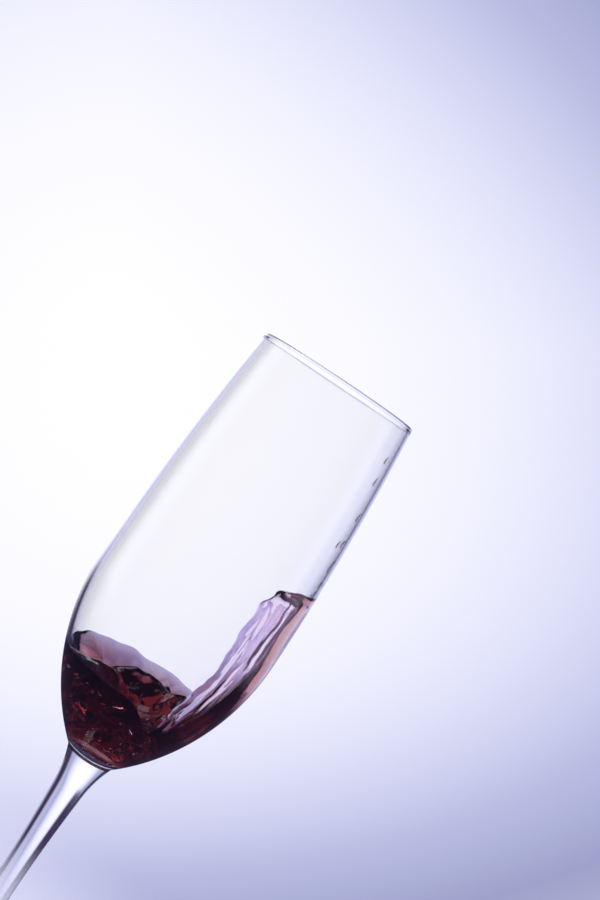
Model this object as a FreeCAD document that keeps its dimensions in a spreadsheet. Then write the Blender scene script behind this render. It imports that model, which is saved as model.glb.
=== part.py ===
import FreeCAD, Part
import math
import os
import Sketcher

# A stemmed flute of clear glass with a little red wine in it: a swirling pool in the foot of the
# bowl, and the sheet of wine that has just run down one wall (+X) and still clings to it.
# Origin at the centre of the foot's underside, +Z up along the stem, millimetres.

SIZES = {
    # overall
    "total_height": (225, "floor to the top of the lip"),
    "bowl_diameter": (57, "outside, at the widest"),
    "rim_diameter": (48.5, "outside, at the lip"),
    "foot_diameter": (68, "outside"),
    # bowl
    "widest_depth": (75.5, "from the lip down to the widest ring"),
    "bowl_depth": (124.3, "from the lip down to the ring where the stem starts"),
    "junction_diameter": (14.5, "of that ring"),
    "rim_wall": (1.05, "glass under the lip"),
    "bowl_wall": (1.25, "glass at and below the widest ring"),
    "bottom_glass": (2.4, "from the ring up to the bottom of the hollow"),
    "lip_diameter": (1.2, "of the melted bead round the rim"),
    # stem
    "neck_diameter": (9.2, "where the quick flare under the bowl ends"),
    "neck_length": (11, "from the ring down to there"),
    "stem_diameter": (6.7, "of the straight part"),
    "taper_length": (45, "from the ring down to the straight part"),
    # foot
    "foot_edge": (1.8, "thickness at the rounded edge"),
    "foot_slope": (6.5, "degrees, of its upper face"),
    "foot_flare": (16, "radius of the flare from the foot into the stem"),
    "foot_hollow": (1.1, "rise of the underside in the middle"),
    "standing_ring": (6, "width of the flat ring that the glass stands on"),
    # wine
    "wine_depth": (22.3, "from the bottom of the hollow to the resting level"),
    "hump_height": (2.6, "of the rolled-up hump beside the trough"),
    "hump_place": (12.5, "from the axis, towards the sheet"),
    "trough_depth": (7.2, "of the trough that the fall has dug at the wall"),
    "trough_place": (18, "from the axis to the middle of its slope"),
    "ridge_height": (1.5, "of the swirl's ridges"),
    "hollow_depth": (7, "of the hollow that the swirl leaves behind its ridges"),
    "sheet_top": (53, "from the lip down to the top of the sheet"),
    "sheet_edge": (15.2, "from the axis to the sheet's ragged sides"),
    "sheet_core": (2.6, "thickness of the sheet where it is thickest"),
    "sheet_reach": (63, "degrees round the wall from there to where it runs out"),
    "scallop_depth": (0.7, "of the waves along the sheet's sides"),
}
SCALLOPS = 4
WAVE_GRID = 25

# The swirl's features in plan: middle and spread along X and Y, as shares of the bowl's radius.
NEAR_RIDGE = ((-0.26, -0.36), (0.5, 0.14))
MIDDLE_RIDGE = ((0.04, 0.05), (0.35, 0.13))
FAR_CREST = ((0.39, 0.46), (0.14, 0.18))
HOLLOW = ((-0.14, 0.42), (0.4, 0.3))
NEAR_HOLLOW, NEAR_SHARE = ((0.18, -0.4), (0.32, 0.34)), 0.6
HUMP_ASIDE, HUMP_SPREAD = -0.07, (0.15, 0.28)
TROUGH_ROLL = 0.032

doc = FreeCAD.newDocument("glass_of_red_wine")
sheet = doc.addObject("Spreadsheet::Sheet", "sizes")
for row, (alias, (number, note)) in enumerate(SIZES.items(), start=1):
    sheet.set(f"A{row}", alias)
    sheet.set(f"B{row}", str(number))
    sheet.set(f"C{row}", note)
    sheet.setAlias(f"B{row}", alias)
doc.recompute()


def size(alias):
    return float(sheet.get(alias))


class Outline:
    """A closed chain of lines and arcs in a sketch on the body's XZ plane."""

    def __init__(self, body, name):
        self.sketch = body.newObject("Sketcher::SketchObject", name)
        plane = next(part for part in body.Origin.OriginFeatures if part.Role == "XZ_Plane")
        self.sketch.AttachmentSupport = (plane, [""])
        self.sketch.MapMode = "FlatFace"
        self.ends = []

    def line(self, start, end, join="Coincident"):
        edge = Part.LineSegment(FreeCAD.Vector(*start, 0), FreeCAD.Vector(*end, 0))
        return self.add(edge, 1, 2, join)

    def arc(self, start, end, centre, turn, join="Coincident"):
        """turn is +1 for an arc walked anticlockwise, -1 for clockwise."""
        first = math.atan2(start[1] - centre[1], start[0] - centre[0])
        last = math.atan2(end[1] - centre[1], end[0] - centre[0])
        radius = math.dist(start, centre)
        circle = Part.Circle(FreeCAD.Vector(*centre, 0), FreeCAD.Vector(0, 0, 1), radius)
        if turn > 0:
            return self.add(Part.ArcOfCircle(circle, first, last), 1, 2, join)
        return self.add(Part.ArcOfCircle(circle, last, first), 2, 1, join)

    def add(self, edge, start, end, join):
        index = self.sketch.addGeometry(edge, False)
        if self.ends:
            before = self.ends[-1]
            self.rule(join, before[0], before[2], index, start)
        self.ends.append((index, start, end))
        return index

    def close(self):
        first, last = self.ends[0], self.ends[-1]
        self.rule("Coincident", last[0], last[2], first[0], first[1])

    def rule(self, kind, *where):
        return self.sketch.addConstraint(Sketcher.Constraint(kind, *where))

    def measure(self, kind, where, value, expression):
        index = self.rule(kind, *where, value)
        self.sketch.setExpression(f"Constraints[{index}]", expression)

    def place_end(self, index, across=None, up=None):
        """Fixes the point where an edge of the chain ends, from the origin."""
        geometry, _, position = self.ends[index]
        point = self.sketch.getPoint(geometry, position)
        if across:
            self.measure("DistanceX", (-1, 1, geometry, position), point.x, across)
        if up:
            self.measure("DistanceY", (-1, 1, geometry, position), point.y, up)

    def level_with_end(self, index, arc):
        """Puts an arc's centre at the height of the chain's point after edge index."""
        geometry, _, position = self.ends[index]
        self.rule("Horizontal", geometry, position, arc, 3)


def spin(body, kind, name, sketch):
    """A full turn of a sketch about the stem's axis: kind is Revolution or Groove."""
    feature = body.newObject(f"PartDesign::{kind}", name)
    feature.Profile = sketch
    feature.ReferenceAxis = (sketch, ["V_Axis"])
    feature.Angle = 360
    return feature


def tangent_centre(point, normal, through):
    """Centre of the circle that leaves point square to normal and passes through another point."""
    chord = (through[0] - point[0], through[1] - point[1])
    square = chord[0] ** 2 + chord[1] ** 2
    radius = square / (2 * (chord[0] * normal[0] + chord[1] * normal[1]))
    return (point[0] + radius * normal[0], point[1] + radius * normal[1])


TOP = "(sizes.total_height - sizes.lip_diameter / 2)"
WIDEST = "(sizes.total_height - sizes.widest_depth)"
RING = "(sizes.total_height - sizes.bowl_depth)"
FLANK = "(sizes.bowl_diameter - sizes.junction_diameter) / 2"
DROP = "(sizes.bowl_depth - sizes.widest_depth)"
BOWL_ARC = f"(({FLANK})^2 + {DROP}^2) / (2 * ({FLANK}))"

top = size("total_height") - size("lip_diameter") / 2
widest = size("total_height") - size("widest_depth")
ring = size("total_height") - size("bowl_depth")
hollow_bottom = ring + size("bottom_glass")
wine_level = hollow_bottom + size("wine_depth")
bowl_arc_centre = tangent_centre((size("bowl_diameter") / 2, widest), (-1, 0),
                                 (size("junction_diameter") / 2, ring))


def draw_outside(body):
    """Foot, stem and bowl from outside, as one outline closed along the axis."""
    outline = Outline(body, "outside")
    edge_radius = size("foot_edge") / 2
    edge_centre = (size("foot_diameter") / 2 - edge_radius, edge_radius)
    slope = math.radians(size("foot_slope"))
    lean = (math.sin(slope), math.cos(slope))
    edge_top = (edge_centre[0] + edge_radius * lean[0], edge_centre[1] + edge_radius * lean[1])
    stem_radius = size("stem_diameter") / 2
    flare = size("foot_flare")
    flare_across = stem_radius + flare
    cone_end = flare_across - flare * lean[0]
    cone_rise = (edge_top[0] - cone_end) * math.tan(slope)
    cone_top = (cone_end, edge_top[1] + cone_rise)
    flare_centre = (flare_across, cone_top[1] + flare * lean[1])
    taper_foot = (stem_radius, ring - size("taper_length"))
    neck = (size("neck_diameter") / 2, ring - size("neck_length"))
    junction = (size("junction_diameter") / 2, ring)
    belly = (size("bowl_diameter") / 2, widest)
    rim = (size("rim_diameter") / 2, top)
    taper_centre = tangent_centre(taper_foot, (1, 0), neck)
    reach = math.dist(neck, taper_centre)
    inward = ((taper_centre[0] - neck[0]) / reach, (taper_centre[1] - neck[1]) / reach)
    neck_centre = tangent_centre(neck, inward, junction)
    rim_centre = tangent_centre(belly, (-1, 0), rim)

    outline.line((0, 0), (edge_centre[0], 0))
    edge = outline.arc((edge_centre[0], 0), edge_top, edge_centre, +1, "Tangent")
    cone = outline.line(edge_top, cone_top, "Tangent")
    flare_arc = outline.arc(cone_top, (stem_radius, flare_centre[1]), flare_centre, -1, "Tangent")
    stem = outline.line((stem_radius, flare_centre[1]), taper_foot, "Tangent")
    outline.arc(taper_foot, neck, taper_centre, -1, "Tangent")
    outline.arc(neck, junction, neck_centre, -1, "Tangent")
    lower = outline.arc(junction, belly, bowl_arc_centre, +1)
    upper = outline.arc(belly, rim, rim_centre, +1)
    lid = outline.line(rim, (0, top))
    axis = outline.line((0, top), (0, 0))
    outline.close()

    outline.rule("Coincident", axis, 2, -1, 1)
    outline.rule("Vertical", axis)
    outline.rule("Horizontal", lid)
    outline.rule("Horizontal", 0)
    outline.rule("Vertical", stem)
    outline.measure("Radius", (edge,), edge_radius, "sizes.foot_edge / 2")
    outline.place_end(0, across="(sizes.foot_diameter - sizes.foot_edge) / 2")
    outline.measure("Angle", (cone,), math.pi - slope, "(180 - sizes.foot_slope) * 1 deg")
    outline.measure("Radius", (flare_arc,), flare, "sizes.foot_flare")
    outline.place_end(4, "sizes.stem_diameter / 2", f"{RING} - sizes.taper_length")
    outline.place_end(5, "sizes.neck_diameter / 2", f"{RING} - sizes.neck_length")
    outline.place_end(6, "sizes.junction_diameter / 2", RING)
    outline.place_end(7, "sizes.bowl_diameter / 2", WIDEST)
    outline.place_end(8, "sizes.rim_diameter / 2", TOP)
    outline.level_with_end(7, lower)
    outline.level_with_end(7, upper)
    return outline.sketch


def draw_inside(body, name, grow=0, grow_by="0"):
    """The bowl's hollow up to the lip, made wider all round by grow (an expression, grow_by)."""
    outline = Outline(body, name)
    belly = (size("bowl_diameter") / 2 - size("bowl_wall") + grow, widest)
    rim = (size("rim_diameter") / 2 - size("rim_wall") + grow, top)
    rim_centre = tangent_centre(belly, (-1, 0), rim)
    side_radius = belly[0] - bowl_arc_centre[0]
    bottom = hollow_bottom - grow
    drop = widest - bottom
    cup = (side_radius ** 2 - bowl_arc_centre[0] ** 2 - drop ** 2) / (2 * (side_radius - drop))
    cup_centre = (0, bottom + cup)
    along = math.dist(cup_centre, bowl_arc_centre)
    meet = tuple(c + (c - b) / along * cup for c, b in zip(cup_centre, bowl_arc_centre))

    cup_arc = outline.arc((0, bottom), meet, cup_centre, +1)
    side = outline.arc(meet, belly, bowl_arc_centre, +1, "Tangent")
    upper = outline.arc(belly, rim, rim_centre, +1)
    lid = outline.line(rim, (0, top))
    axis = outline.line((0, top), (0, bottom))
    outline.close()

    outline.rule("PointOnObject", axis, 2, -2)
    outline.rule("Vertical", axis)
    outline.rule("Horizontal", lid)
    outline.rule("PointOnObject", cup_arc, 3, -2)
    outline.place_end(4, up=f"{RING} + sizes.bottom_glass - ({grow_by})")
    outline.place_end(1, f"sizes.bowl_diameter / 2 - sizes.bowl_wall + ({grow_by})", WIDEST)
    outline.place_end(2, f"sizes.rim_diameter / 2 - sizes.rim_wall + ({grow_by})", TOP)
    outline.level_with_end(1, side)
    outline.level_with_end(1, upper)
    outline.measure("Radius", (side,), side_radius,
                    f"{BOWL_ARC} - sizes.bowl_wall + ({grow_by})")
    return outline.sketch


def draw_lip(body):
    """The bead of the fire-polished rim, a circle centred on the top of the wall."""
    sketch = Outline(body, "lip_bead").sketch
    across = (size("rim_diameter") - size("rim_wall")) / 2
    radius = size("lip_diameter") / 2
    circle = Part.Circle(FreeCAD.Vector(across, top, 0), FreeCAD.Vector(0, 0, 1), radius)
    bead = sketch.addGeometry(circle, False)
    for kind, where, value, expression in (
            ("DistanceX", (-1, 1, bead, 3), across, "(sizes.rim_diameter - sizes.rim_wall) / 2"),
            ("DistanceY", (-1, 1, bead, 3), top, TOP),
            ("Radius", (bead,), radius, "sizes.lip_diameter / 2")):
        index = sketch.addConstraint(Sketcher.Constraint(kind, *where, value))
        sketch.setExpression(f"Constraints[{index}]", expression)
    return sketch


def draw_foot_hollow(body):
    """The shallow dome under the foot, inside its standing ring."""
    outline = Outline(body, "under_foot")
    across = size("foot_diameter") / 2 - size("standing_ring")
    rise = size("foot_hollow")
    radius = (across ** 2 + rise ** 2) / (2 * rise)
    outline.line((0, 0), (across, 0))
    dome = outline.arc((across, 0), (0, rise), (0, rise - radius), +1)
    axis = outline.line((0, rise), (0, 0))
    outline.close()
    outline.rule("Coincident", axis, 2, -1, 1)
    outline.rule("Vertical", axis)
    outline.rule("PointOnObject", dome, 3, -2)
    outline.rule("Horizontal", 0)
    outline.place_end(0, across="sizes.foot_diameter / 2 - sizes.standing_ring")
    outline.place_end(1, up="sizes.foot_hollow")
    return outline.sketch


def build_glass():
    """One piece of glass: the outline is spun, then hollowed, beaded and domed under the foot."""
    glass = doc.addObject("PartDesign::Body", "glass")
    glass.Label = "glass"
    spin(glass, "Revolution", "solid_glass", draw_outside(glass))
    doc.recompute()
    spin(glass, "Groove", "hollow", draw_inside(glass, "inside"))
    doc.recompute()
    spin(glass, "Revolution", "lip", draw_lip(glass))
    doc.recompute()
    spin(glass, "Groove", "dome", draw_foot_hollow(glass))
    doc.recompute()
    return glass


def bump(x, y, place, spread):
    """A smooth hill of height 1 centred on place, spread as far as given along X and Y."""
    return math.exp(-((x - place[0]) / spread[0]) ** 2 - ((y - place[1]) / spread[1]) ** 2)


def swirl_height(x, y):
    """Height of the moving surface above the resting level, at a point of the plan."""
    reach = size("bowl_diameter") / 2
    hump_place = (size("hump_place") / reach, HUMP_ASIDE)
    trough_place, x, y = size("trough_place") / reach, x / reach, y / reach
    trough = size("trough_depth") / (1 + math.exp((trough_place - x) / TROUGH_ROLL))
    ridges = sum(bump(x, y, *ridge) for ridge in (NEAR_RIDGE, MIDDLE_RIDGE, FAR_CREST))
    hollows = bump(x, y, *HOLLOW) + NEAR_SHARE * bump(x, y, *NEAR_HOLLOW)
    return (size("ridge_height") * ridges + size("hump_height") * bump(x, y, hump_place, HUMP_SPREAD)
            - size("hollow_depth") * hollows - trough)


def pool_region():
    """Everything under the swirling surface: a patch through a grid of heights, drawn down."""
    half = size("bowl_diameter") / 2
    steps = [half * (2 * i / (WAVE_GRID - 1) - 1) for i in range(WAVE_GRID)]
    heights = [[FreeCAD.Vector(x, y, wine_level + swirl_height(x, y)) for y in steps] for x in steps]
    patch = Part.BSplineSurface()
    patch.interpolate(heights)
    region = doc.addObject("Part::Feature", "pool_region")
    region.Shape = patch.toShape().extrude(FreeCAD.Vector(0, 0, -2 * size("wine_depth")))
    return region


def draw_sheet_edge(body):
    """Side view of the sheet: scalloped towards the axis, rounded at the top, open to the wall."""
    outline = Outline(body, "sheet_side")
    edge = size("sheet_edge")
    crown = size("total_height") - size("sheet_top")
    shoulder = size("bowl_diameter") / 4
    foot = wine_level - size("trough_depth") - size("wine_depth") / 4
    pitch = (crown - shoulder - foot) / SCALLOPS
    depth = size("scallop_depth")
    radius = ((pitch / 2) ** 2 + depth ** 2) / (2 * depth)
    far = size("bowl_diameter") / 2
    level = f"({RING} + sizes.bottom_glass + sizes.wine_depth)"
    foot_up = f"({level} - sizes.trough_depth - sizes.wine_depth / 4)"
    crown_up = "(sizes.total_height - sizes.sheet_top)"
    shoulder_by = "(sizes.bowl_diameter / 4)"
    pitch_by = f"(({crown_up} - {shoulder_by} - {foot_up}) / {SCALLOPS})"
    radius_by = f"(({pitch_by} / 2)^2 + sizes.scallop_depth^2) / (2 * sizes.scallop_depth)"

    outline.line((far, foot), (edge, foot))
    for count in range(SCALLOPS):
        low = foot + count * pitch
        centre = (edge + radius - depth, low + pitch / 2)
        outline.arc((edge, low), (edge, low + pitch), centre, -1)
    crown_corner = (far, crown)
    crown_centre = tangent_centre(crown_corner, (0, -1), (edge, crown - shoulder))
    crown_arc = outline.arc((edge, crown - shoulder), crown_corner, crown_centre, -1)
    side = outline.line(crown_corner, (far, foot))
    outline.close()

    outline.rule("Horizontal", 0)
    outline.rule("Vertical", side)
    outline.place_end(0, "sizes.sheet_edge", foot_up)
    for count in range(1, SCALLOPS + 1):
        outline.place_end(count, "sizes.sheet_edge", f"{foot_up} + {count} * {pitch_by}")
        outline.measure("Radius", (count,), radius, radius_by)
    outline.place_end(SCALLOPS + 1, "sizes.bowl_diameter / 2", crown_up)
    outline.rule("Vertical", crown_arc, 3, side, 1)
    return outline.sketch


def build_wine():
    """The pool and the sheet on the +X wall as one solid that fills the hollow wall to wall."""
    hollow = doc.addObject("PartDesign::Body", "bowl_hollow")
    spin(hollow, "Revolution", "hollow_solid", draw_inside(hollow, "hollow_outline"))

    # The air beside the sheet is the hollow made wider and moved away from +X, so that the sheet
    # is thickest there and thins to nothing at the angle called its reach.
    turn = math.cos(math.radians(size("sheet_reach")))
    shift_by = "(sizes.sheet_core / (1 - cos(sizes.sheet_reach * 1 deg)))"
    shift = size("sheet_core") / (1 - turn)
    air = doc.addObject("PartDesign::Body", "air")
    widen_by = f"{shift_by} * cos(sizes.sheet_reach * 1 deg)"
    spin(air, "Revolution", "air_solid", draw_inside(air, "air_outline", shift * turn, widen_by))
    air.setExpression("Placement.Base.x", f"-{shift_by}")

    side = doc.addObject("PartDesign::Body", "sheet_region")
    slab = side.newObject("PartDesign::Pad", "slab")
    slab.Profile = draw_sheet_edge(side)
    slab.SideType = "Symmetric"
    slab.setExpression("Length", "sizes.bowl_diameter + 2 * sizes.sheet_core")
    doc.recompute()

    clinging = doc.addObject("Part::Cut", "clinging_wine")
    clinging.Base = side
    clinging.Tool = air
    region = doc.addObject("Part::Fuse", "wine_region")
    region.Base = pool_region()
    region.Tool = clinging
    wine = doc.addObject("Part::Common", "wine")
    wine.Label = "wine"
    wine.Base = hollow
    wine.Tool = region
    doc.recompute()
    return wine


subparts = [build_glass(), build_wine()]

for item in doc.Objects:
    if {"Invalid", "Error"} & set(item.State):
        raise SystemExit(f"{item.Label} failed: {item.State}")
for item in subparts:
    if item.Shape.isNull() or not item.Shape.isValid() or len(item.Shape.Solids) != 1:
        raise SystemExit(f"{item.Label} isn't one valid solid")

os.makedirs("parts", exist_ok=True)
for item in subparts:
    item.Shape.exportStep(f"parts/{item.Label}.step")
    print(f"{item.Label}: {item.Shape.Volume / 1000:.2f} ml")
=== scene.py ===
import math

import bmesh
import bpy
import numpy as np
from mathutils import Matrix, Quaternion, Vector, noise


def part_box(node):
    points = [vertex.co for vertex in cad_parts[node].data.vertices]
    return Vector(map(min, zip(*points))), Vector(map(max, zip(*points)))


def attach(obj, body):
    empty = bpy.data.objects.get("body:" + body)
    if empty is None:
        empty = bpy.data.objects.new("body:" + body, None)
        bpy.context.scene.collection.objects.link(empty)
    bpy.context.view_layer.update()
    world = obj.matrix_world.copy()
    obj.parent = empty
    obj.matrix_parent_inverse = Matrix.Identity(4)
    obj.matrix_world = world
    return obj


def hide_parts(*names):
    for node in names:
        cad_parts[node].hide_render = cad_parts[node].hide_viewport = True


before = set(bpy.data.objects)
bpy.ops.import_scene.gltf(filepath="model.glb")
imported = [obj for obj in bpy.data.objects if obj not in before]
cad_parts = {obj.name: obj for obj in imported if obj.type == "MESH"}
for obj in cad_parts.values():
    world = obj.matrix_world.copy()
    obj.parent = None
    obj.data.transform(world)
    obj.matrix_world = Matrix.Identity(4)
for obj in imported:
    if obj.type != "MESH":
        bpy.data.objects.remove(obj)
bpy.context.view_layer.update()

# ---------------------------------------------------------------------------------------------
# The frame: metres, the glass stands on z = 0 with its stem on the Z axis.
# ---------------------------------------------------------------------------------------------
MM = 0.001
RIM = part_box("glass")[1].z

# The glassmaker's sizes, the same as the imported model's.
LIP = 0.6 * MM
BELLY_RADIUS = 28.5 * MM
RIM_RADIUS = 24.25 * MM
RING_RADIUS = 7.25 * MM
FOOT_RADIUS = 34 * MM
BELLY = RIM - 75.5 * MM
RING = RIM - 124.3 * MM
RIM_WALL = 1.05 * MM
BOWL_WALL = 1.25 * MM
BOTTOM_GLASS = 2.4 * MM
NECK_RADIUS, NECK = 4.6 * MM, RING - 11 * MM
STEM_RADIUS, STEM_TOP = 3.35 * MM, RING - 45 * MM
FOOT_EDGE = 1.8 * MM
FOOT_SLOPE = math.radians(6.5)
FOOT_FLARE = 16 * MM
FOOT_HOLLOW = 1.1 * MM
STANDING_RING = 6 * MM

FACETS_ROUND = 200
# Edges sharper than these stay creases; everything softer is shaded smooth.
GLASS_CREASE = math.radians(30)
WINE_CREASE = math.radians(60)


def srgb(text, strength=1.0):
    """A hex colour as linear red, green, blue and 1."""
    values = [int(text[i:i + 2], 16) / 255 for i in (1, 3, 5)]
    linear = [v / 12.92 if v <= 0.04045 else ((v + 0.055) / 1.055) ** 2.4 for v in values]
    return (*[v * strength for v in linear], 1.0)


def add_node(tree, kind, inputs=None, **settings):
    """Adds one node; an input is a value, or the socket of another node to link from."""
    node = tree.nodes.new(kind)
    for name, value in settings.items():
        setattr(node, name, value)
    for key, value in (inputs or {}).items():
        if isinstance(value, bpy.types.NodeSocket):
            tree.links.new(value, node.inputs[key])
        else:
            node.inputs[key].default_value = value
    return node


def geometry_tree(name, inputs, output):
    """A Geometry Nodes tree with the named inputs, and the sockets that they come in by."""
    tree = bpy.data.node_groups.new(name, "GeometryNodeTree")
    for label, kind in inputs.items():
        tree.interface.new_socket(label, in_out="INPUT", socket_type="NodeSocket" + kind)
    tree.interface.new_socket(output, in_out="OUTPUT", socket_type="NodeSocketGeometry")
    return tree, add_node(tree, "NodeGroupInput").outputs


def blank_material(name):
    material = bpy.data.materials.new(name)
    material.use_nodes = True
    material.node_tree.nodes.clear()
    return material, material.node_tree


# ---------------------------------------------------------------------------------------------
# Glass
# ---------------------------------------------------------------------------------------------
def tangent_centre(point, normal, through):
    """Centre of the circle that leaves point square to normal and passes through another point."""
    chord = (through[0] - point[0], through[1] - point[1])
    reach = (chord[0] ** 2 + chord[1] ** 2) / (2 * (chord[0] * normal[0] + chord[1] * normal[1]))
    return (point[0] + reach * normal[0], point[1] + reach * normal[1])


def arc_points(start, end, centre, step, turn):
    """Points along an arc, its start left out; turn is +1 for anticlockwise."""
    first = math.atan2(start[1] - centre[1], start[0] - centre[0])
    last = math.atan2(end[1] - centre[1], end[0] - centre[0])
    sweep = (last - first) * turn % (2 * math.pi) * turn
    radius = math.dist(start, centre)
    count = max(2, math.ceil(abs(sweep) * radius / step))
    return [(centre[0] + radius * math.cos(first + sweep * i / count),
             centre[1] + radius * math.sin(first + sweep * i / count)) for i in range(1, count + 1)]


def line_points(start, end, step):
    count = max(1, math.ceil(math.dist(start, end) / step))
    return [tuple(s + (e - s) * i / count for s, e in zip(start, end)) for i in range(1, count + 1)]


BOWL_CENTRE = tangent_centre((BELLY_RADIUS, BELLY), (-1, 0), (RING_RADIUS, RING))
INNER_BELLY = BELLY_RADIUS - BOWL_WALL
INNER_ARC = INNER_BELLY - BOWL_CENTRE[0]
HOLLOW_BOTTOM = RING + BOTTOM_GLASS
LIP_BASE = RIM - LIP
INNER_RIM = RIM_RADIUS - RIM_WALL
INNER_RIM_CENTRE = tangent_centre((INNER_BELLY, BELLY), (-1, 0), (INNER_RIM, LIP_BASE))
CUP_DROP = BELLY - HOLLOW_BOTTOM
CUP_RADIUS = (INNER_ARC ** 2 - BOWL_CENTRE[0] ** 2 - CUP_DROP ** 2) / (2 * (INNER_ARC - CUP_DROP))
CUP_CENTRE = HOLLOW_BOTTOM + CUP_RADIUS


def cup_meets_side():
    """Where the round bottom of the hollow runs into its side."""
    toward = (-BOWL_CENTRE[0], CUP_CENTRE - BELLY)
    along = math.hypot(*toward)
    return (toward[0] / along * CUP_RADIUS, CUP_CENTRE + toward[1] / along * CUP_RADIUS)


def wall_radius(z):
    """Radius of the hollow inside the bowl at a height, worked on arrays too."""
    z = np.asarray(z, float)
    cup = np.sqrt(np.clip(CUP_RADIUS ** 2 - (z - CUP_CENTRE) ** 2, 0, None))
    side = BOWL_CENTRE[0] + np.sqrt(np.clip(INNER_ARC ** 2 - (z - BELLY) ** 2, 0, None))
    reach = INNER_BELLY - INNER_RIM_CENTRE[0]
    upper = INNER_RIM_CENTRE[0] + np.sqrt(np.clip(reach ** 2 - (z - BELLY) ** 2, 0, None))
    return np.where(z > BELLY, upper, np.where(z > cup_meets_side()[1], side, cup))


def glass_outline():
    """The turned outline in (radius, height), from the axis under the foot round to the hollow."""
    hollow = FOOT_RADIUS - STANDING_RING
    dome = (hollow ** 2 + FOOT_HOLLOW ** 2) / (2 * FOOT_HOLLOW)
    edge = (FOOT_RADIUS - FOOT_EDGE / 2, FOOT_EDGE / 2)
    lean = (math.sin(FOOT_SLOPE), math.cos(FOOT_SLOPE))
    edge_top = (edge[0] + edge[1] * lean[0], edge[1] + edge[1] * lean[1])
    flare_across = STEM_RADIUS + FOOT_FLARE
    cone_end = flare_across - FOOT_FLARE * lean[0]
    cone_top = (cone_end, edge_top[1] + (edge_top[0] - cone_end) * math.tan(FOOT_SLOPE))
    flare = (flare_across, cone_top[1] + FOOT_FLARE * lean[1])
    stem_foot, stem_top = (STEM_RADIUS, flare[1]), (STEM_RADIUS, STEM_TOP)
    neck, ring = (NECK_RADIUS, NECK), (RING_RADIUS, RING)
    taper = tangent_centre(stem_top, (1, 0), neck)
    reach = math.dist(neck, taper)
    inward = ((taper[0] - neck[0]) / reach, (taper[1] - neck[1]) / reach)
    neck_centre = tangent_centre(neck, inward, ring)
    belly, rim = (BELLY_RADIUS, BELLY), (RIM_RADIUS, LIP_BASE)
    bead = (RIM_RADIUS - RIM_WALL / 2, LIP_BASE)
    low = math.sqrt(LIP ** 2 - (RIM_WALL / 2) ** 2)
    bead_out, bead_in = (RIM_RADIUS, LIP_BASE - low), (INNER_RIM, LIP_BASE - low)
    inner_belly, meet = (INNER_BELLY, BELLY), cup_meets_side()

    outline = [(0.0, FOOT_HOLLOW)]
    outline += arc_points(outline[-1], (hollow, 0), (0, FOOT_HOLLOW - dome), 1.6 * MM, -1)
    outline += line_points((hollow, 0), (edge[0], 0), 1.5 * MM)
    outline += arc_points((edge[0], 0), edge_top, edge, 0.12 * MM, +1)
    outline += line_points(edge_top, cone_top, 1.2 * MM)
    outline += arc_points(cone_top, stem_foot, flare, 0.6 * MM, -1)
    outline += line_points(stem_foot, stem_top, 3 * MM)
    outline += arc_points(stem_top, neck, taper, 1.5 * MM, -1)
    outline += arc_points(neck, ring, neck_centre, 0.4 * MM, -1)
    outline += arc_points(ring, belly, BOWL_CENTRE, 0.9 * MM, +1)
    outline += arc_points(belly, rim, tangent_centre(belly, (-1, 0), rim), 1.6 * MM, +1)[:-1]
    outline += [bead_out]
    outline += arc_points(bead_out, bead_in, bead, 0.07 * MM, +1)
    inner = arc_points(inner_belly, (INNER_RIM, LIP_BASE), INNER_RIM_CENTRE, 1.6 * MM, +1)[:-1]
    outline += [p for p in reversed(inner)] + [inner_belly]
    side = arc_points(meet, inner_belly, BOWL_CENTRE, 0.9 * MM, +1)[:-1]
    outline += [p for p in reversed(side)] + [meet]
    outline += arc_points(meet, (0, HOLLOW_BOTTOM), (0, CUP_CENTRE), 0.5 * MM, -1)
    return outline


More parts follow.
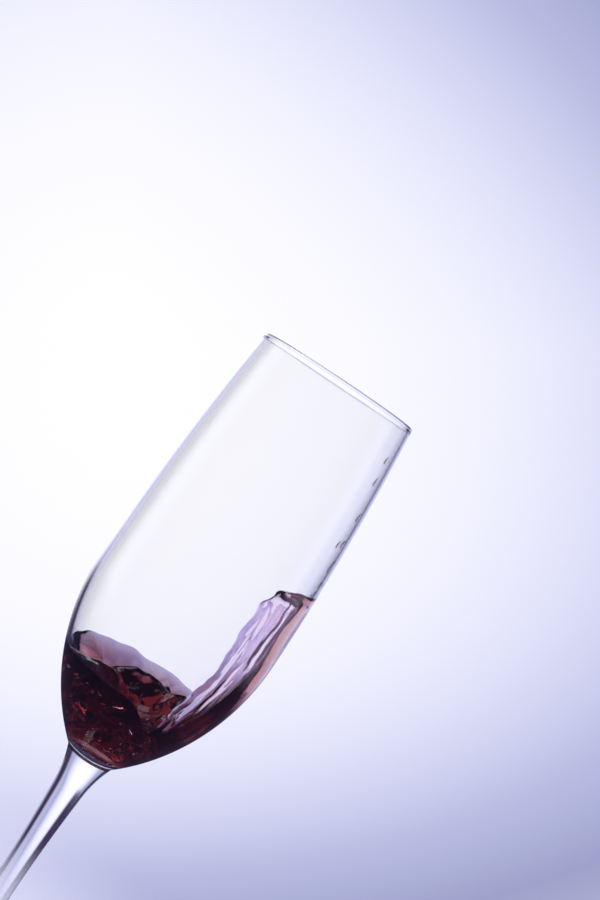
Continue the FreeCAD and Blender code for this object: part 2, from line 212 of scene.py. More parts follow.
def lathe_tree():
    """Geometry Nodes that turn an outline of points in the XZ plane round the Z axis."""
    tree, given = geometry_tree(
        "lathe", {"Outline": "Geometry", "Facets round": "Int", "Finish": "Material"}, "Turned piece")
    facets = given["Facets round"]
    points = add_node(tree, "GeometryNodeAttributeDomainSize", {"Geometry": given["Outline"]},
                      component="MESH").outputs["Point Count"]
    columns = add_node(tree, "ShaderNodeMath", {0: facets, 1: 1.0}, operation="ADD")
    grid = add_node(tree, "GeometryNodeMeshGrid",
                    {"Vertices X": columns.outputs[0], "Vertices Y": points})

    # the grid's points are numbered up one column after another
    index = add_node(tree, "GeometryNodeInputIndex").outputs[0]
    row = add_node(tree, "ShaderNodeMath", {0: index, 1: points}, operation="FLOORED_MODULO")
    middle = add_node(tree, "ShaderNodeMath", {0: index, 1: 0.5}, operation="ADD")
    share = add_node(tree, "ShaderNodeMath", {0: middle.outputs[0], 1: points}, operation="DIVIDE")
    column = add_node(tree, "ShaderNodeMath", {0: share.outputs[0]}, operation="FLOOR")
    whole = add_node(tree, "ShaderNodeMath", {0: column.outputs[0], 1: 2 * math.pi},
                     operation="MULTIPLY")
    turn = add_node(tree, "ShaderNodeMath", {0: whole.outputs[0], 1: facets}, operation="DIVIDE")

    place = add_node(tree, "GeometryNodeInputPosition").outputs[0]
    sample = add_node(tree, "GeometryNodeSampleIndex", {"Geometry": given["Outline"]},
                      data_type="FLOAT_VECTOR", domain="POINT")
    tree.links.new(place, next(s for s in sample.inputs if s.name == "Value" and s.enabled))
    tree.links.new(row.outputs[0], sample.inputs["Index"])
    spot = next(s for s in sample.outputs if s.name == "Value" and s.enabled)
    turned = add_node(tree, "ShaderNodeVectorRotate", {"Vector": spot, "Angle": turn.outputs[0]},
                      rotation_type="Z_AXIS")
    moved = add_node(tree, "GeometryNodeSetPosition",
                     {"Geometry": grid.outputs["Mesh"], "Position": turned.outputs[0]})
    merged = add_node(tree, "GeometryNodeMergeByDistance",
                      {"Geometry": moved.outputs[0], "Distance": 1e-6})
    smooth = add_node(tree, "GeometryNodeSetShadeSmooth", {"Geometry": merged.outputs[0]})
    real = add_node(tree, "GeometryNodeRealizeInstances", {"Geometry": smooth.outputs[0]})
    finish = add_node(tree, "GeometryNodeSetMaterial",
                      {"Geometry": real.outputs[0], "Material": given["Finish"]})
    add_node(tree, "NodeGroupOutput", {0: finish.outputs[0]})
    return tree


def run_tree(name, start, tree, values):
    """Runs a tree on a start mesh and returns the result as a plain object."""
    base = bpy.data.objects.new(name + "_start", start)
    bpy.context.scene.collection.objects.link(base)
    modifier = base.modifiers.new("make", "NODES")
    modifier.node_group = tree
    sockets = {item.name: item.identifier for item in tree.interface.items_tree
               if item.in_out == "INPUT"}
    for label, value in values.items():
        modifier[sockets[label]] = value
    bpy.context.view_layer.update()
    evaluated = base.evaluated_get(bpy.context.evaluated_depsgraph_get())
    mesh = bpy.data.meshes.new_from_object(evaluated)
    bpy.data.objects.remove(base)
    mesh.name = name
    piece = bpy.data.objects.new(name, mesh)
    bpy.context.scene.collection.objects.link(piece)
    return piece


def face_outwards(mesh):
    work = bmesh.new()
    work.from_mesh(mesh)
    bmesh.ops.recalc_face_normals(work, faces=work.faces)
    work.to_mesh(mesh)
    work.free()


def make_glass(material):
    """Bowl, stem and foot, turned in one piece."""
    outline = glass_outline()
    start = bpy.data.meshes.new("glass_outline")
    links = [(i, i + 1) for i in range(len(outline) - 1)]
    start.from_pydata([(r, 0, z) for r, z in outline], links, [])
    piece = run_tree("turned_glass", start, lathe_tree(),
                     {"Facets round": FACETS_ROUND, "Finish": material})
    face_outwards(piece.data)
    piece.data.set_sharp_from_angle(angle=GLASS_CREASE)
    return piece


# ---------------------------------------------------------------------------------------------
# Wine
# ---------------------------------------------------------------------------------------------
LEVEL = HOLLOW_BOTTOM + 22.3 * MM
INTO_WALL = 0.12 * MM
# The sheet: its top, how far from the axis its sides run, and where the near one starts at its foot.
CROWN = RIM - 53 * MM
NEAR_EDGE, FAR_EDGE, SHEET_FOOT = 14.6 * MM, 20.3 * MM, 10.5 * MM
FILM = 0.2 * MM

# The swirl, in millimetres and degrees. A hill is its height, its middle in plan, its spread along
# and across, its turn, and its spread behind where that is another: the two rolling waves, the
# hollow on the left, the ribs that stand in the hollows, and the dome beside the trough.
SINK = 0.7
HILLS = ((2.0, (-8, -10), (15, 7.5), -33, 2.4), (3.2, (1.5, 2.5), (11, 3.2), 10, 2.2),
         (-6.5, (-13.5, 5), (5.5, 9), -20),
         (5.0, (-7, 7), (5.5, 1.4), 48), (5.5, (7, 8.5), (5.5, 1.4), 20),
         (5.6, (13.2, -2), (4.0, 6), 0), (1.4, (11, 13), (4, 5), 0))
NEAR_HOLLOW, FAR_HOLLOW = 5.0, 8.0
TROUGH, TROUGH_NEAR, TROUGH_FAR = 7.4, 38, 50
# A ripple is how many to the millimetre, where its noise starts, and its height.
RIPPLES = ((0.16, 3.1, 1.3), (0.36, 7.7, 0.6))

# The sheet's strands: degrees round, where each starts and ends below the crown, and its thickness.
STRANDS = ((-39.0, 4, 26, 0.26), (-33.0, 5, 23, 0.3), (-29.0, 7, 34, 0.24),
           (-46.0, 24, 42, 0.16), (24.0, 5, 30, 0.2))
STRAND_WIDTH = 1.5
# The rope that runs up the sheet: heights above the level, and its turn, width and thickness there.
ROPE_TURN = ((0, 12, 24, 36, 44), (16, 18, 21, 25, 20))
ROPE_WIDTH = ((0, 8, 18, 30, 44), (17, 13, 7, 5, 4))
ROPE_THICKNESS = ((0, 10, 20, 34, 44), (1.2, 1.8, 2.8, 2.6, 1.6))


def step(value, low, high):
    """A smooth rise from 0 at low to 1 at high."""
    part = np.clip((value - low) / (high - low), 0, 1)
    return part * part * (3 - 2 * part)


def hill(x, y, place, spread, turn, back=None):
    """A smooth hill of height 1; with a spread of its own at the back it falls away as a wave does."""
    c, s = math.cos(math.radians(turn)), math.sin(math.radians(turn))
    along = (x - place[0]) * c + (y - place[1]) * s
    aside = -(x - place[0]) * s + (y - place[1]) * c
    across = np.where(aside < 0, spread[1], back or spread[1])
    return np.exp(-(along / spread[0]) ** 2 - (aside / across) ** 2)


def rough(points, scale, seed):
    """Smooth noise from -1 to 1 at each point."""
    return np.array([noise.noise(Vector(p) * scale + Vector((seed, seed * 1.7, seed * 0.6)))
                     for p in points])


def swirl(x, y):
    """Height in metres of the pool's moving surface above its resting level."""
    x, y = x / MM, y / MM
    turn = np.degrees(np.arctan2(y, x))
    reach = np.hypot(x, y)
    hills = sum(height * hill(x, y, *shape) for height, *shape in HILLS)
    near_hollow = NEAR_HOLLOW * step(x, -10, 5) * step(-y, -3, 6)
    far_hollow = FAR_HOLLOW * step(y, 2, 10) * np.exp(-((x + 3) / 12.5) ** 2)
    trough = (TROUGH * np.exp(-(turn / np.where(turn < 0, TROUGH_NEAR, TROUGH_FAR)) ** 4)
              * step(reach, 16.6, 18.8))
    points = np.column_stack([np.ravel(x), np.ravel(y), np.zeros(np.size(x))])
    ripple = sum(rough(points, scale, seed) * height for scale, seed, height in RIPPLES)
    calm = 1 - 0.8 * step(reach, 14, 21)
    return (hills - SINK - near_hollow - far_hollow - trough
            + ripple.reshape(x.shape) * calm) * MM


def sheet_side(z, rest, seed):
    """How far from the axis the sheet's ragged side runs, at each height."""
    points = np.column_stack([np.zeros(len(z)), np.zeros(len(z)), z / MM])
    ragged = rough(points, 0.16, seed) * 1.0 + rough(points, 0.5, seed + 2) * 0.35
    return rest + ragged * MM


def sheet_thickness(turn, z, left):
    """Thickness of the sheet in millimetres: a film with wrinkles, strands, a rope and a hood.

    turn is the place round the wall, and left is how many millimetres it is from the sheet's side.
    """
    up = (z - LEVEL) / MM
    below = (CROWN - z) / MM
    degrees = np.degrees(turn)
    arc = turn * wall_radius(z) / MM
    soft = np.column_stack([arc, np.zeros(len(z)), up * 0.22])
    fine = np.column_stack([arc, np.full(len(z), 9.0), up * 0.14])
    film = FILM / MM + 0.12 * rough(soft, 0.45, 4.0) + 0.12 * np.abs(rough(fine, 0.8, 8.0))
    film = film * (1 - 0.6 * step(-degrees, 46, 56) * step(-up, -20, -6))
    wander = 1.1 * rough(np.column_stack([up * 0.3, up * 0, up * 0]), 1.0, 5.0)
    strands = 0
    for place, top, bottom, amount in STRANDS:
        aside = degrees - place - wander * 2.2 - (up - 22) * 0.12
        strands = strands + (amount * np.exp(-(aside / STRAND_WIDTH) ** 2)
                             * step(below, top - 1, top + 1.5) * step(bottom - below, 0, 4))
    rope_turn = wander - np.interp(up, *ROPE_TURN)
    rope = (np.interp(up, *ROPE_THICKNESS)
            * np.exp(-((degrees - rope_turn) / np.interp(up, *ROPE_WIDTH)) ** 2))
    pool = 3.0 * np.exp(-(up / 12) ** 2) * np.exp(-(degrees / 42) ** 2)
    bead = 0.12 * np.exp(-((left - 1.1) / 0.6) ** 2) * step(up, 6, 18)
    hood = 2.2 * np.exp(-((below - 1.7) / 1.3) ** 2) * step(-degrees, 5, 16)
    return np.maximum(film, 0.04) + strands + rope + pool + bead + hood


def wine_mesh():
    """The pool and the sheet on the wall as one closed skin.

    Its columns run round the axis: first across the sheet, from its near side to its far side,
    and then on round the bare wall.
    """
    sheet_columns, bare_columns, pool_rows, wall_rows, sheet_rows = 100, 170, 72, 24, 96
    base = LEVEL - 1 * MM
    near_angle = math.acos(SHEET_FOOT / float(wall_radius(base)))
    far_angle = math.acos(FAR_EDGE / float(wall_radius(base)))
    near = -near_angle * np.arange(sheet_columns, 0, -1) / sheet_columns
    far = far_angle * np.arange(0, sheet_columns + 1) / sheet_columns
    gap = 2 * math.pi - near_angle - far_angle
    bare = far_angle + gap * np.arange(1, bare_columns) / bare_columns
    angles = np.concatenate([near, far, bare])
    columns, strip = len(angles), 2 * sheet_columns + 1
    side = np.concatenate([near / near_angle, far / far_angle])

    # where the free surface meets the wall; off the sheet a film clings up to the old level
    rest = np.full(columns, LEVEL)
    for _ in range(30):
        r = wall_radius(rest) - 0.4 * MM
        rest = rest * 0.5 + 0.5 * (LEVEL + swirl(r * np.cos(angles), r * np.sin(angles)))
    around = np.column_stack([np.cos(angles), np.sin(angles), angles * 0])
    tide = LEVEL + (0.9 + 1.2 * rough(around, 3.2, 2.0)) * MM * step(np.sin(angles), -0.4, 0.5)
    off_sheet = np.arange(columns) >= strip
    away = np.degrees(np.minimum(angles - far_angle, 2 * math.pi - near_angle - angles))
    climb = np.maximum(rest, tide) + 0.45 * MM - rest
    contact = rest + np.where(off_sheet, climb * step(away, -1, 30), 0)
    cling = contact - rest
    foot_turn = angles[:strip]
    foot = (0.4 + 2.2 * np.exp(-(foot_turn / 0.75) ** 2)) * MM
    toe = foot + sheet_thickness(foot_turn, contact[:strip], (1 - np.abs(side)) * 20) * MM
    toe = toe * np.sqrt(1 - np.abs(side) ** 12)
    inner_r = wall_radius(rest)
    inner_r[:strip] -= toe
    film = (0.4 + 9.0 * step(cling / MM, 1, 6) * (1 + 0.4 * rough(around, 4.0, 6.0))) * MM

    vertices, faces = [], []

    def add(points):
        start = len(vertices)
        vertices.extend(map(tuple, points))
        return start + np.arange(len(points))

    def ring(r, z, turn=angles):
        return add(np.column_stack([r * np.cos(turn), r * np.sin(turn), z]))

    # the free surface of the pool, from its centre out
    middle = add([(0, 0, LEVEL + float(swirl(np.zeros(1), np.zeros(1))[0]))])
    surface = []
    for row in range(1, pool_rows):
        r = inner_r * (1 - (1 - row / pool_rows) ** 2)
        climb = np.clip(1 - ((inner_r - r) / film) ** 1.2, 0, 1)
        z = LEVEL + swirl(r * np.cos(angles), r * np.sin(angles))
        z = z + (rest - z) * step(climb, 0, 0.5) + cling * climb
        r = r + (wall_radius(z) - wall_radius(rest)) * step(climb, 0, 0.5)
        surface.append(ring(r, z))
    wall = []
    for row in range(1, wall_rows + 1):
        part = (row / wall_rows) ** 1.6
        z = HOLLOW_BOTTOM - INTO_WALL + (contact - HOLLOW_BOTTOM + INTO_WALL) * part
        seated = np.where(off_sheet, step(contact - z, -0.1 * MM, 2 * MM), 1)
        inset = INTO_WALL * min(1, 6 * part) * seated
        wall.append(ring(np.maximum(wall_radius(z) + inset, 0.2 * MM), z))
    bottom = add([(0, 0, HOLLOW_BOTTOM - INTO_WALL)])

    # the sheet: columns fan out with height so that the outermost follow its ragged sides
    base_z = contact[:strip]
    shoulder = np.where(side < 0, 7.0 * np.abs(side) ** 9, 6 + 5.0 * np.abs(side) ** 3) * MM
    shoulder = np.where(side > 0, shoulder * step(side, 0, 0.5), shoulder)
    crown = CROWN - shoulder
    outer, inner = [wall[-1][:strip]], []
    for row in range(0, sheet_rows + 1):
        z = base_z + (crown - base_z) * row / sheet_rows
        spread = SHEET_FOOT + (NEAR_EDGE - SHEET_FOOT) * step(z, LEVEL, LEVEL + 19 * MM)
        near_side = np.clip(sheet_side(z, spread, 11.0) / wall_radius(z), 0, 0.99)
        far_side = np.clip(sheet_side(z, FAR_EDGE, 23.0) / wall_radius(z), 0, 0.99)
        fan = np.where(side < 0, np.arccos(near_side) / near_angle, np.arccos(far_side) / far_angle)
        turn = angles[:strip] * (1 + (fan - 1) * step(z, base, base + 6 * MM))
        reach = np.abs(np.where(side < 0, near_angle, far_angle) * fan) * wall_radius(z)
        left = (1 - np.abs(side)) * reach / MM
        thick = sheet_thickness(turn, z, left)
        round_top = np.clip((crown - z) / MM / 1.1, 0, 1)
        taper = np.clip(left / 2.2, 0, 1) * np.sqrt(np.clip(1 - (1 - round_top) ** 2, 0, 1))
        root = np.exp(-(z - base_z) / (1.5 * MM))
        thick = (thick * MM + foot * root) * taper
        thick = thick + (toe - thick) * root ** 4
        if row:
            outer.append(ring(wall_radius(z) + INTO_WALL * step(taper, -0.1, 1), z, turn))
        if row < sheet_rows:
            line = ring(wall_radius(z) - thick, z, turn)
            line[0], line[-1] = outer[-1][0], outer[-1][-1]
            inner.append(line)
    inner.append(outer[-1])

    def bridge(low, high, closed):
        for i in range(len(low) - (0 if closed else 1)):
            j = (i + 1) % len(low)
            faces.append((low[i], low[j], high[j], high[i]))

    for i in range(columns):
        faces.append((middle[0], surface[0][i], surface[0][(i + 1) % columns]))
        faces.append((bottom[0], wall[0][(i + 1) % columns], wall[0][i]))
    shore = np.concatenate([inner[0], wall[-1][strip:]])
    for lines, closed in ((surface + [shore], True), (wall, True), (outer, False), (inner, False)):
        for low, high in zip(lines, lines[1:]):
            bridge(low, high, closed)

    mesh = bpy.data.meshes.new("red_wine")
    mesh.from_pydata(vertices, [], [[int(i) for i in f] for f in faces])
    work = bmesh.new()
    work.from_mesh(mesh)
    bmesh.ops.remove_doubles(work, verts=work.verts, dist=1e-7)
    bmesh.ops.recalc_face_normals(work, faces=work.faces)
    work.to_mesh(mesh)
    work.free()
    mesh.shade_smooth()
    mesh.set_sharp_from_angle(angle=WINE_CREASE)
    return mesh


# In millimetres, from least to most: above the ring, in from the wall, and a bubble's length.
BUBBLE_HEIGHT, BUBBLE_INSET, BUBBLE_LENGTH = (8.0, 20.5), (2.4, 9.0), (3.0, 11.0)
BUBBLES, BUBBLE_SLIMNESS = 60, 0.42


def bubbles_tree():
    """Geometry Nodes that join long, bent air bubbles to the wine, one on every given point."""
    tree, given = geometry_tree(
        "air_bubbles", {"Places": "Geometry", "Wine": "Object", "Slimness": "Float",
                        "Finish": "Material"}, "Wine with air")
    place = add_node(tree, "GeometryNodeInputPosition").outputs[0]
    round_axis = add_node(tree, "ShaderNodeVectorMath", {0: (0, 0, 1), 1: place},
                          operation="CROSS_PRODUCT")
    stray = add_node(tree, "FunctionNodeRandomValue",
                     {"Min": (-0.6, -0.6, -0.9), "Max": (0.6, 0.6, 0.9), "Seed": 5},
                     data_type="FLOAT_VECTOR")
    along = add_node(tree, "ShaderNodeVectorMath", {0: round_axis.outputs[0]}, operation="NORMALIZE")
    lean = add_node(tree, "ShaderNodeVectorMath", {0: along.outputs[0], 1: stray.outputs[0]},
                    operation="ADD")
    turn = add_node(tree, "FunctionNodeAlignRotationToVector", {"Vector": lean.outputs[0]}, axis="X")
    length = add_node(tree, "GeometryNodeInputNamedAttribute", {"Name": "length"}, data_type="FLOAT")
    slim = add_node(tree, "ShaderNodeMath", {0: length.outputs[0], 1: given["Slimness"]},
                    operation="MULTIPLY")
    size = add_node(tree, "ShaderNodeCombineXYZ",
                    {0: length.outputs[0], 1: slim.outputs[0], 2: slim.outputs[0]})
    ball = add_node(tree, "GeometryNodeMeshIcoSphere", {"Radius": 0.5, "Subdivisions": 3})
    set_down = add_node(tree, "GeometryNodeInstanceOnPoints",
                        {"Points": given["Places"], "Instance": ball.outputs["Mesh"],
                         "Rotation": turn.outputs[0], "Scale": size.outputs[0]})
    real = add_node(tree, "GeometryNodeRealizeInstances", {"Geometry": set_down.outputs[0]})
    grain = add_node(tree, "ShaderNodeTexNoise", {"Vector": place, "Scale": 480.0, "Detail": 1.0})
    centred = add_node(tree, "ShaderNodeVectorMath", {0: grain.outputs["Color"], 1: (0.5, 0.5, 0.5)},
                       operation="SUBTRACT")
    bend = add_node(tree, "ShaderNodeVectorMath", {0: centred.outputs[0], "Scale": 0.003},
                    operation="SCALE")
    bent = add_node(tree, "GeometryNodeSetPosition",
                    {"Geometry": real.outputs[0], "Offset": bend.outputs[0]})
    inside_out = add_node(tree, "GeometryNodeFlipFaces", {"Mesh": bent.outputs[0]})
    wine = add_node(tree, "GeometryNodeObjectInfo", {"Object": given["Wine"]})
    joined = add_node(tree, "GeometryNodeJoinGeometry")
    tree.links.new(inside_out.outputs[0], joined.inputs[0])
    tree.links.new(wine.outputs["Geometry"], joined.inputs[0])
    whole = add_node(tree, "GeometryNodeRealizeInstances", {"Geometry": joined.outputs[0]})
    smooth = add_node(tree, "GeometryNodeSetShadeSmooth", {"Geometry": whole.outputs[0]})
    finish = add_node(tree, "GeometryNodeSetMaterial",
                      {"Geometry": smooth.outputs[0], "Material": given["Finish"]})
    add_node(tree, "NodeGroupOutput", {0: finish.outputs[0]})
    return tree


def bubble_places():
    """Where the pour has drawn air under: just inside the wall, well below the surface."""
    pick = np.random.default_rng(12)
    places, lengths = [], []
    while len(places) < BUBBLES:
        z = RING + pick.uniform(*BUBBLE_HEIGHT) * MM
        turn = pick.uniform(0, 2 * math.pi)
        length = pick.uniform(*BUBBLE_LENGTH) * MM
        r = float(wall_radius(z)) - pick.uniform(*BUBBLE_INSET) * MM
        x, y = r * math.cos(turn), r * math.sin(turn)
        roof = LEVEL + float(swirl(np.array([x]), np.array([y]))[0]) - 2.6 * MM
        floor = float(wall_radius(z - length / 2)) - r
        apart = all(math.dist((x, y, z), other) > 0.36 * (length + size) + 1.2 * MM
                    for other, size in zip(places, lengths))
        if z < roof and r > 1.5 * MM and floor > 1.6 * MM and apart:
            places.append((x, y, z))
            lengths.append(length)
    return places, lengths


def make_wine(material):
    """The wine: a pool with its swirl caught in motion, and the sheet on the +X wall."""
    skin = bpy.data.objects.new("wine_skin", wine_mesh())
    bpy.context.scene.collection.objects.link(skin)
    places, lengths = bubble_places()
    start = bpy.data.meshes.new("bubble_places")
    start.from_pydata(places, [], [])
    start.attributes.new("length", "FLOAT", "POINT").data.foreach_set("value", lengths)
    piece = run_tree("swirling_wine", start, bubbles_tree(),
                     {"Wine": skin, "Slimness": BUBBLE_SLIMNESS, "Finish": material})
    bpy.data.objects.remove(skin)
    piece.data.set_sharp_from_angle(angle=WINE_CREASE)
    return piece


# How far each drop is from the axis along X, how far below the lip, and its length, in millimetres.
DROPS = ((21.5, 11.1, 2.4), (22.3, 17.4, 2.6), (23.9, 28.0, 2.8), (23.2, 36.8, 2.2),
         (24.3, 36.2, 2.4), (25.2, 43.0, 4.2), (25.9, 49.0, 2.2), (26.3, 52.0, 1.6))
DROP_WIDTH, DROP_THICKNESS = 0.95 * MM, 0.7 * MM


def drops_tree():
    """Geometry Nodes that set a drop of its own length on every point, flat to the wall there."""
    tree, given = geometry_tree(
        "drops", {"Points": "Geometry", "Width": "Float", "Thickness": "Float",
                  "Finish": "Material"}, "Drops")
    place = add_node(tree, "GeometryNodeInputPosition").outputs[0]
    outward = add_node(tree, "ShaderNodeVectorMath", {0: place, 1: (1, 1, 0)}, operation="MULTIPLY")
    ball = add_node(tree, "GeometryNodeMeshUVSphere", {"Segments": 24, "Rings": 18, "Radius": 0.5})
    height = add_node(tree, "ShaderNodeSeparateXYZ", {0: place}).outputs[2]
    slim = add_node(tree, "ShaderNodeMath", {0: height, 1: -0.7, 2: 0.8}, operation="MULTIPLY_ADD")
    shape = add_node(tree, "ShaderNodeCombineXYZ", {0: slim.outputs[0], 1: slim.outputs[0], 2: 1.0})
    tear = add_node(tree, "ShaderNodeVectorMath", {0: place, 1: shape.outputs[0]},
                    operation="MULTIPLY")
    drop = add_node(tree, "GeometryNodeSetPosition",
                    {"Geometry": ball.outputs["Mesh"], "Position": tear.outputs[0]})
    turn = add_node(tree, "FunctionNodeAlignRotationToVector", {"Vector": outward.outputs[0]},
                    axis="X", pivot_axis="Z")
    length = add_node(tree, "GeometryNodeInputNamedAttribute", {"Name": "length"}, data_type="FLOAT")
    size = add_node(tree, "ShaderNodeCombineXYZ",
                    {0: given["Thickness"], 1: given["Width"], 2: length.outputs[0]})
    set_down = add_node(tree, "GeometryNodeInstanceOnPoints",
                        {"Points": given["Points"], "Instance": drop.outputs[0],
                         "Rotation": turn.outputs[0], "Scale": size.outputs[0]})
    real = add_node(tree, "GeometryNodeRealizeInstances", {"Geometry": set_down.outputs[0]})
    smooth = add_node(tree, "GeometryNodeSetShadeSmooth", {"Geometry": real.outputs[0]})
    finish = add_node(tree, "GeometryNodeSetMaterial",
                      {"Geometry": smooth.outputs[0], "Material": given["Finish"]})
    add_node(tree, "NodeGroupOutput", {0: finish.outputs[0]})
    return tree


def make_drops(material):
    """Drops the pour has left on the inside of the +X wall."""
    places, lengths = [], []
    for across, below, length in DROPS:
        z = RIM - below * MM
        r = float(wall_radius(z)) - 0.05 * MM
        x = min(across * MM, 0.995 * r)
        places.append((x, -math.sqrt(r ** 2 - x ** 2), z))
        lengths.append(length * MM)
    start = bpy.data.meshes.new("drop_places")
    start.from_pydata(places, [], [])
    start.attributes.new("length", "FLOAT", "POINT").data.foreach_set("value", lengths)
    return run_tree("wine_drops", start, drops_tree(),
                    {"Width": DROP_WIDTH, "Thickness": DROP_THICKNESS, "Finish": material})


def red_wine():
    """Young red wine: clear, almost black when deep, brown-red when thinner, pale as a film."""
    material, tree = blank_material("red_wine")
    skin = add_node(tree, "ShaderNodeBsdfGlass",
                    {"Color": srgb("#fcf7ff"), "Roughness": 0.0, "IOR": 1.34})
    depth = add_node(tree, "ShaderNodeVolumeAbsorption",
                     {"Color": (0.6, 0.13, 0.09, 1.0), "Density": 268.0})
    add_node(tree, "ShaderNodeOutputMaterial", {"Surface": skin.outputs[0], "Volume": depth.outputs[0]})
    return material


def clear_glass():
    """Soda-lime glass, fire-polished: colourless, perfectly smooth, seen by what it bends."""
    material, tree = blank_material("clear_soda_lime_glass")
    glass = add_node(tree, "ShaderNodeBsdfGlass",
                     {"Color": srgb("#fdfdfe"), "Roughness": 0.0, "IOR": 1.52})
    add_node(tree, "ShaderNodeOutputMaterial", {"Surface": glass.outputs[0]})
    return material


# ---------------------------------------------------------------------------------------------
# Studio
# ---------------------------------------------------------------------------------------------
# The way the camera looks: down, to the right and rolled, which leans the glass to the right.
LOOK_DOWN, LOOK_ASIDE, ROLL = (math.radians(a) for a in (1.37, 0.24, 33.7))
# The backdrop's bright patch is this far left of that and above it, and fades over these angles.
PATCH_LEFT, PATCH_UP, SIDE_FADE, TOP_FADE, LOW_FADE = (
    math.tan(math.radians(a)) for a in (8, 4.5, 27, 26, 22.5))
BACKDROP = ((0.0, "#ffffff"), (0.15, "#f3f3ff"), (0.275, "#e2e3fb"), (0.4, "#cdd0ee"),
            (0.5, "#bcbee4"), (0.625, "#acb1d8"), (0.75, "#9ea1ca"), (1.0, "#b4b6d6"))
DARK = "#3c3450"
# Each card is bounded by soft edges: what it goes by, where the edge starts and where it ends.
# Turn is in degrees to the right of +Y and rise in degrees above the level.
CARDS = ((("turn", 26, 36), ("turn", 62, 52), ("rise", 40, 32)),
         (("turn", 48, 58), ("turn", 125, 115), ("rise", 3, 13), ("rise", 40, 32)),
         (("turn", -38, -50), ("turn", -70, -60)),
         (("turn", -18, -28), ("turn", -90, -80), ("rise", -8, -16)))
OVERHEAD = (("rise", 34, 44), ("rise", 78, 66))
# Where mirrored rays find no light, each bounded by one soft edge.
UNLIT = (("ahead", 0.3, -0.2), ("rise", 8, 20), ("rise", -8, -20))
# How much brighter the backdrop is to rays that don't come straight from the camera.
FILL = 0.18


def backdrop_turn():
    """The way the camera looks, which the backdrop stands square to."""
    aim = Vector((math.sin(LOOK_ASIDE), math.cos(LOOK_ASIDE) * math.cos(LOOK_DOWN),
                  -math.sin(LOOK_DOWN)))
    return aim.to_track_quat("-Z", "Y") @ Quaternion((0, 0, 1), ROLL)


def shade_within(tree, values, edges, operation):
    """Joins soft edges, each 0 at its start and 1 at its end, by multiplying or by the largest."""
    whole = None
    for source, start, end in edges:
        edge = add_node(tree, "ShaderNodeMapRange", {0: values[source], 1: start, 2: end, 3: 0.0, 4: 1.0},
                        interpolation_type="SMOOTHSTEP").outputs[0]
        whole = edge if whole is None else add_node(
            tree, "ShaderNodeMath", {0: whole, 1: edge}, operation=operation).outputs[0]
    return whole


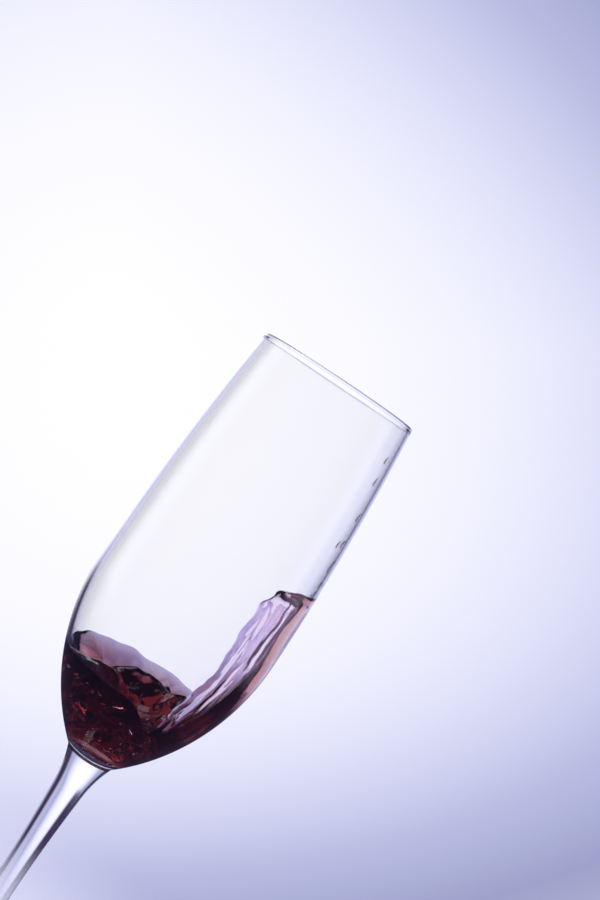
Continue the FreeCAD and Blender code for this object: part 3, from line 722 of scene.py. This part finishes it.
def make_world():
    """A lit backdrop behind the glass, dark cards beside it, soft lavender all round."""
    world = bpy.data.worlds.new("studio")
    bpy.context.scene.world = world
    world.use_nodes = True
    tree = world.node_tree
    tree.nodes.clear()
    aim = add_node(tree, "ShaderNodeTexCoord").outputs["Generated"]
    parts = add_node(tree, "ShaderNodeSeparateXYZ", {0: aim}).outputs
    path = add_node(tree, "ShaderNodeLightPath").outputs
    values = {"east": parts[0], "north": parts[1], "height": parts[2],
              "mirrors": path["Glossy Depth"], "direct": path["Is Camera Ray"]}
    for name, axis in (("right", (1, 0, 0)), ("up", (0, 1, 0)), ("ahead", (0, 0, -1))):
        values[name] = add_node(tree, "ShaderNodeVectorMath",
                                {0: aim, 1: backdrop_turn() @ Vector(axis)},
                                operation="DOT_PRODUCT").outputs["Value"]

    # each line is a value's name, how it is worked out, and what from
    for name, operation, *given in (
            ("turn in radians", "ARCTAN2", "east", "north"),
            ("turn", "DEGREES", "turn in radians"),
            ("rise in radians", "ARCSINE", "height"),
            ("rise", "DEGREES", "rise in radians"),
            # across and up the backdrop from its bright patch, 1 where it has faded
            ("depth", "MAXIMUM", "ahead", 0.05),
            ("x", "DIVIDE", "right", "depth"),
            ("y", "DIVIDE", "up", "depth"),
            ("x from patch", "ADD", "x", PATCH_LEFT),
            ("across", "DIVIDE", "x from patch", SIDE_FADE),
            ("y from patch", "SUBTRACT", "y", PATCH_UP),
            ("upper", "MAXIMUM", "y from patch", 0.0),
            ("above", "DIVIDE", "upper", TOP_FADE),
            ("y down", "MULTIPLY", "y from patch", -1.0),
            ("lower", "MAXIMUM", "y down", 0.0),
            ("below", "DIVIDE", "lower", LOW_FADE),
            # how far the light has fallen off, more in the top right corner
            ("to the right", "MAXIMUM", "across", 0.0),
            ("corner", "MULTIPLY", "to the right", "above"),
            ("across squared", "MULTIPLY", "across", "across"),
            ("above squared", "MULTIPLY", "above", "above"),
            ("below cubed", "POWER", "below", 3.0),
            ("upper fall", "ADD", "across squared", "above squared"),
            ("other fall", "ADD", "below cubed", "corner"),
            ("patch fall", "ADD", "upper fall", "other fall"),
            ("past the side", "SUBTRACT", 0.05, "ahead"),
            ("side fall", "MULTIPLY", "past the side", 40.0),
            ("fall", "MAXIMUM", "patch fall", "side fall"),
            ("place on ramp", "DIVIDE", "fall", 2.0),
            ("mirrored", "MINIMUM", "mirrors", 1.0),
            ("indirect", "SUBTRACT", 1.0, "direct"),
            ("fill", "MULTIPLY", "indirect", FILL),
            ("strength", "ADD", 1.0, "fill")):
        sources = {i: values.get(value, value) for i, value in enumerate(given)}
        values[name] = add_node(tree, "ShaderNodeMath", sources, operation=operation).outputs[0]

    ramp = add_node(tree, "ShaderNodeValToRGB", {0: values["place on ramp"]})
    ramp.color_ramp.elements[0].color = srgb(BACKDROP[0][1])
    ramp.color_ramp.elements[1].color = srgb(BACKDROP[-1][1])
    for place, colour in BACKDROP[1:-1]:
        ramp.color_ramp.elements.new(place).color = srgb(colour)

    unlit = shade_within(tree, values, UNLIT, "MAXIMUM")
    dark = add_node(tree, "ShaderNodeMath", {0: unlit, 1: values["mirrored"]},
                    operation="MULTIPLY").outputs[0]
    for card in CARDS:
        dark = add_node(tree, "ShaderNodeMath",
                        {0: dark, 1: shade_within(tree, values, card, "MULTIPLY")},
                        operation="MAXIMUM").outputs[0]
    overhead = shade_within(tree, values, OVERHEAD, "MULTIPLY")
    lit = add_node(tree, "ShaderNodeMix", {"Factor": overhead, 6: ramp.outputs[0], 7: srgb("#ffffff")},
                   data_type="RGBA")
    mixed = add_node(tree, "ShaderNodeMix", {"Factor": dark, 6: lit.outputs[2], 7: srgb(DARK)},
                     data_type="RGBA")
    light = add_node(tree, "ShaderNodeBackground",
                     {"Color": mixed.outputs[2], "Strength": values["strength"]})
    add_node(tree, "ShaderNodeOutputWorld", {"Surface": light.outputs[0]})


def make_floor():
    """A pale floor whose far part fades into the backdrop, and which nothing mirrors."""
    mesh = bpy.data.meshes.new("floor")
    work = bmesh.new()
    bmesh.ops.create_circle(work, cap_ends=True, segments=96, radius=1.2)
    work.to_mesh(mesh)
    work.free()
    floor = bpy.data.objects.new("floor", mesh)
    bpy.context.scene.collection.objects.link(floor)
    # a little under the foot, so that the two faces don't lie in one plane
    floor.location.z = -0.2 * MM
    floor.visible_glossy = False
    material, tree = blank_material("pale_floor")
    spot = add_node(tree, "ShaderNodeTexCoord").outputs["Object"]
    reach = add_node(tree, "ShaderNodeVectorMath", {0: spot}, operation="LENGTH").outputs["Value"]
    fade = add_node(tree, "ShaderNodeMapRange", {0: reach, 1: 0.06, 2: 0.22, 3: 0.0, 4: 1.0},
                    interpolation_type="SMOOTHSTEP").outputs[0]
    mirrored = add_node(tree, "ShaderNodeLightPath").outputs["Glossy Depth"]
    fade = add_node(tree, "ShaderNodeMath", {0: fade, 1: mirrored}, operation="MAXIMUM",
                    use_clamp=True).outputs[0]
    matt = add_node(tree, "ShaderNodeBsdfDiffuse", {"Color": srgb("#e2e2f2")})
    clear = add_node(tree, "ShaderNodeBsdfTransparent")
    mix = add_node(tree, "ShaderNodeMixShader", {0: fade, 1: matt.outputs[0], 2: clear.outputs[0]})
    add_node(tree, "ShaderNodeOutputMaterial", {"Surface": mix.outputs[0]})
    mesh.materials.append(material)


def make_light():
    """One broad soft light from high on the left."""
    lamp = bpy.data.lights.new("soft_light", "AREA")
    lamp.shape = "DISK"
    lamp.size = 1.0
    lamp.energy = 9.0
    light = bpy.data.objects.new("soft_light", lamp)
    place = Vector((-0.5, 0.3, 1.5))
    light.location = place
    light.rotation_mode = "QUATERNION"
    light.rotation_quaternion = place.to_track_quat("Z", "Y")
    bpy.context.scene.collection.objects.link(light)


def make_camera():
    """Level with the upper bowl and close to it, tipped so that the glass leans to the right."""
    lens = bpy.data.cameras.new("camera")
    lens.lens = 50
    lens.clip_start = 0.01
    camera = bpy.data.objects.new("camera", lens)
    camera.location = (0, -344.5 * MM, RIM - 13.5 * MM)
    camera.rotation_mode = "QUATERNION"
    camera.rotation_quaternion = backdrop_turn()
    bpy.context.scene.collection.objects.link(camera)
    bpy.context.scene.camera = camera


glass = make_glass(clear_glass())
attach(glass, "root")
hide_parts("glass")
wine_finish = red_wine()
wine = make_wine(wine_finish)
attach(wine, "root")
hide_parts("wine")
drops = make_drops(wine_finish)
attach(drops, "root")
make_world()
make_floor()
make_light()
make_camera()

scene = bpy.context.scene
scene.view_settings.view_transform = "Standard"
scene.cycles.max_bounces = 24
scene.cycles.transmission_bounces = 24
scene.cycles.glossy_bounces = 12
scene.cycles.transparent_max_bounces = 24
